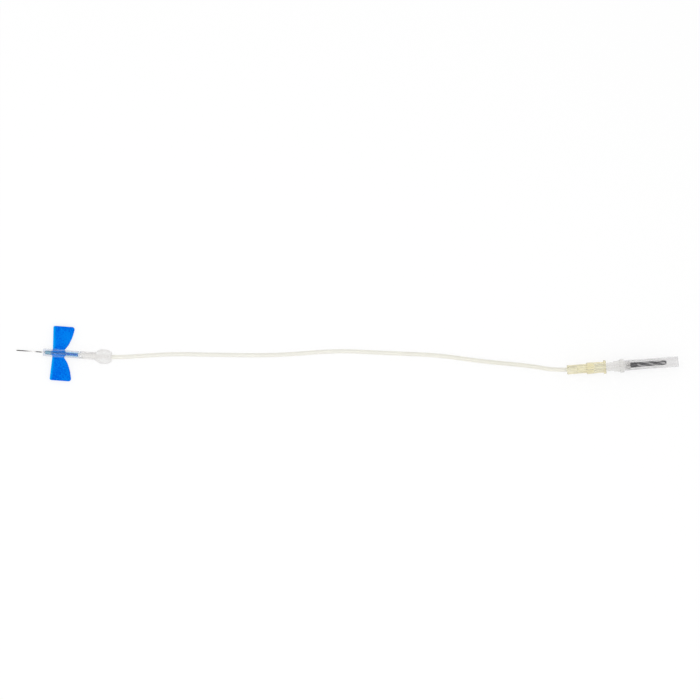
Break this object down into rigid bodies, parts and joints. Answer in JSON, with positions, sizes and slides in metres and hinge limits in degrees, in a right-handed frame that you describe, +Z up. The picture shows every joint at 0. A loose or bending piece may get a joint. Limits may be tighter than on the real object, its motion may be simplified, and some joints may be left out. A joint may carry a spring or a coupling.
{
  "type": "butterfly needle",
  "caption": "Winged infusion needle with folding wings, sliding safety sleeve, soft tubing, socket connector and a capped holder needle.",
  "frame": {"origin": "on the table, under the middle of the head, which is the needle, hub, wings and safety sleeve", "axes": "+X along the needle from its point towards the tubing, +Z up from the table"},
  "size_m": [0.4305, 0.0451, 0.0088],
  "materials": {
    "needle_steel": "drawn and polished stainless tube",
    "adhesive": "clear cured resin",
    "hub_blue": "moulded, smooth",
    "wing_blue": "soft moulded plastic with a fine grain",
    "sleeve_clear": "clear moulded tube with a frosted grip",
    "tubing_soft": "soft extruded tubing, slightly milky",
    "connector_amber": "translucent moulding",
    "adapter_clear": "translucent moulding",
    "rubber_grey": "dusted moulded rubber",
    "cap_clear": "clear moulding with fine lengthwise ribs"
  },
  "bodies": {
    "root": {"needle_cannula": "needle_steel", "needle_bond": "adhesive", "winged_hub": "hub_blue", "tubing": "tubing_soft", "female_luer": "connector_amber"},
    "sheath": {"safety_sheath": "sleeve_clear"},
    "left_wing": {"left_wing": "wing_blue"},
    "right_wing": {"right_wing": "wing_blue"},
    "adapter": {"luer_adapter": "adapter_clear", "holder_needle": "needle_steel", "holder_needle_bond": "adhesive", "rubber_sleeve": "rubber_grey"},
    "cap": {"needle_cap": "cap_clear"}
  },
  "joints": [
    {"name": "sheath_slide", "type": "slide", "parent": "root", "child": "sheath", "axis": [-1, 0, 0], "range_m": [0, 0.0186]},
    {"name": "left_wing_fold", "type": "hinge", "parent": "root", "child": "left_wing", "pos_m": [-0.0034, 0.00335, 0.0025], "axis": [1, 0, 0], "range_deg": [-8, 95], "stiffness_Nm_per_rad": 0.0005},
    {"name": "right_wing_fold", "type": "hinge", "parent": "root", "child": "right_wing", "pos_m": [-0.0034, -0.00335, 0.0025], "axis": [-1, 0, 0], "range_deg": [-8, 95], "stiffness_Nm_per_rad": 0.0005},
    {"name": "adapter_pull", "type": "slide", "parent": "root", "child": "adapter", "axis": [0.989, 0.1478, 0], "range_m": [0, 0.02]},
    {"name": "cap_pull", "type": "slide", "parent": "adapter", "child": "cap", "axis": [0.989, 0.1478, 0], "range_m": [0, 0.038]}
  ]
}
